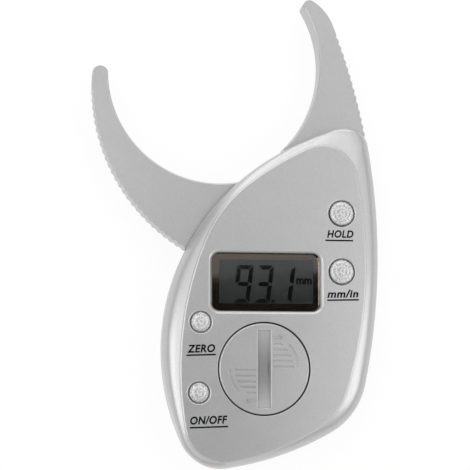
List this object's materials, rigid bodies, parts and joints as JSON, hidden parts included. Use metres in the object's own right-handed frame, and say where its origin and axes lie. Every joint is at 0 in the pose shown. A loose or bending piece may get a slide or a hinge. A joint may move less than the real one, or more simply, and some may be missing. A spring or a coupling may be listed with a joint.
{
  "type": "skinfold caliper",
  "caption": "Digital skinfold caliper with a leaf-shaped housing, display, push buttons, coin-cell cover and two crescent jaws, one of them on a pivot.",
  "frame": {"origin": "on the back face, on the axis of the jaw pivot", "axes": "+Z out of the display face, +Y towards the jaw tips, X across the housing"},
  "size_m": [0.0981, 0.161, 0.0203],
  "materials": {
    "silver_paint": "satin silver paint on moulded plastic",
    "silver_key": "bright silver paint with fine flake",
    "clear_lens": "clear polished acrylic",
    "lcd_glass": "grey liquid crystal glass",
    "white_plastic": "white moulded frame",
    "elastomer": "black elastomer",
    "board_laminate": "green fibreglass laminate",
    "black_plastic": "black moulded plastic",
    "bearing_brass": "turned brass",
    "spring_steel": "plated steel"
  },
  "bodies": {
    "housing": {"back_cover": "silver_paint", "front_cover": "silver_paint", "fixed_jaw": "silver_paint", "pivot_screw": "spring_steel", "pivot_washer": "spring_steel", "friction_washer": "spring_steel", "circuit_board": "board_laminate", "controller_chip": "black_plastic", "lcd_panel": "lcd_glass", "lcd_frame": "white_plastic", "upper_zebra_strip": "elastomer", "lower_zebra_strip": "elastomer", "display_lens": "clear_lens", "hold_switch": "spring_steel", "units_switch": "spring_steel", "zero_switch": "spring_steel", "power_switch": "spring_steel", "cell_holder": "black_plastic", "coin_cell": "spring_steel", "negative_contact": "spring_steel", "positive_contact": "spring_steel", "case_screws": "spring_steel", "jaw_screws": "spring_steel", "board_screws": "spring_steel"},
    "moving_jaw": {"moving_jaw": "silver_paint", "pivot_bushing": "bearing_brass", "encoder_rotor": "board_laminate"},
    "hold_button": {"hold_button": "silver_key"},
    "units_button": {"units_button": "silver_key"},
    "zero_button": {"zero_button": "silver_key"},
    "power_button": {"power_button": "silver_key"},
    "battery_cover": {"battery_cover": "silver_paint", "battery_seal": "elastomer"}
  },
  "joints": [
    {"name": "jaw_hinge", "type": "hinge", "parent": "housing", "child": "moving_jaw", "pos_m": [0, 0, 0], "axis": [0, 0, 1], "range_deg": [-53.95, 0]},
    {"name": "hold_press", "type": "slide", "parent": "housing", "child": "hold_button", "axis": [0, 0, -1], "range_m": [0, 0.0005], "stiffness_N_per_m": 800, "springref_m": -0.0005},
    {"name": "units_press", "type": "slide", "parent": "housing", "child": "units_button", "axis": [0, 0, -1], "range_m": [0, 0.0005], "stiffness_N_per_m": 800, "springref_m": -0.0005},
    {"name": "zero_press", "type": "slide", "parent": "housing", "child": "zero_button", "axis": [0, 0, -1], "range_m": [0, 0.0005], "stiffness_N_per_m": 800, "springref_m": -0.0005},
    {"name": "power_press", "type": "slide", "parent": "housing", "child": "power_button", "axis": [0, 0, -1], "range_m": [0, 0.0005], "stiffness_N_per_m": 800, "springref_m": -0.0005},
    {"name": "battery_cover_turn", "type": "hinge", "parent": "housing", "child": "battery_cover", "pos_m": [-0.0042, -0.047, 0.018], "axis": [0, 0, 1], "range_deg": [0, 60]}
  ]
}
